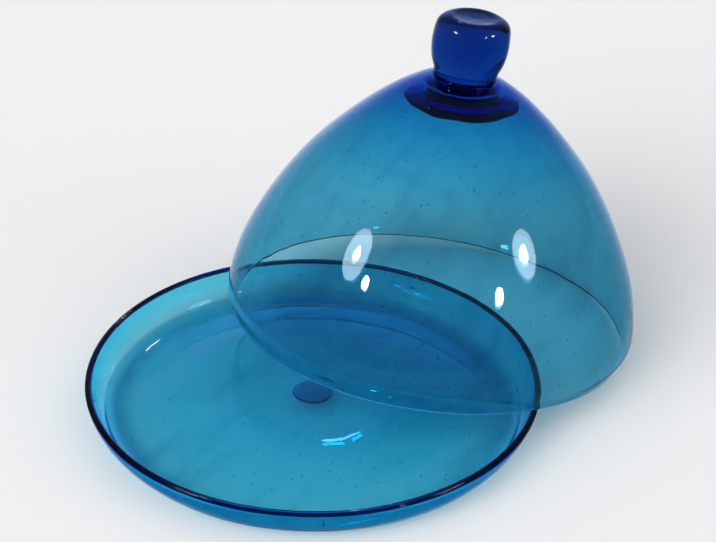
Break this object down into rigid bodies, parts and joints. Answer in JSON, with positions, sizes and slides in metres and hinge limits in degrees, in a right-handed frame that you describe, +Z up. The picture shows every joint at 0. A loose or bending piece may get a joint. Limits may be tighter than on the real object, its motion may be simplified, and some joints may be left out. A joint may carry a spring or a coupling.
{
  "type": "glass cloche",
  "caption": "Blown blue glass dome cover with a solid glass knob, leaning on the rim of its matching round glass serving dish.",
  "frame": {"origin": "middle of the whole object's footprint box, on the plane that the dish and the dome's low edge stand on", "axes": "+Z up; +X from the dish's centre towards the dome that leans on its rim"},
  "size_m": [0.4044, 0.3, 0.2393],
  "materials": {
    "plate_glass": "polished",
    "pontil_glass": "rough",
    "dome_glass": "polished",
    "crown_glass": "polished",
    "collar_glass": "polished",
    "knob_glass": "polished"
  },
  "bodies": {
    "dish": {"plate": "plate_glass", "pontil_scar": "pontil_glass"},
    "cover": {"dome_shell": "dome_glass", "crown_pad": "crown_glass", "knob_collar": "collar_glass", "knob": "knob_glass"}
  },
  "joints": [
    {"name": "cover_lift", "type": "slide", "parent": "dish", "child": "cover", "axis": [0, 0, 1], "range_m": [0, 0.3]}
  ]
}
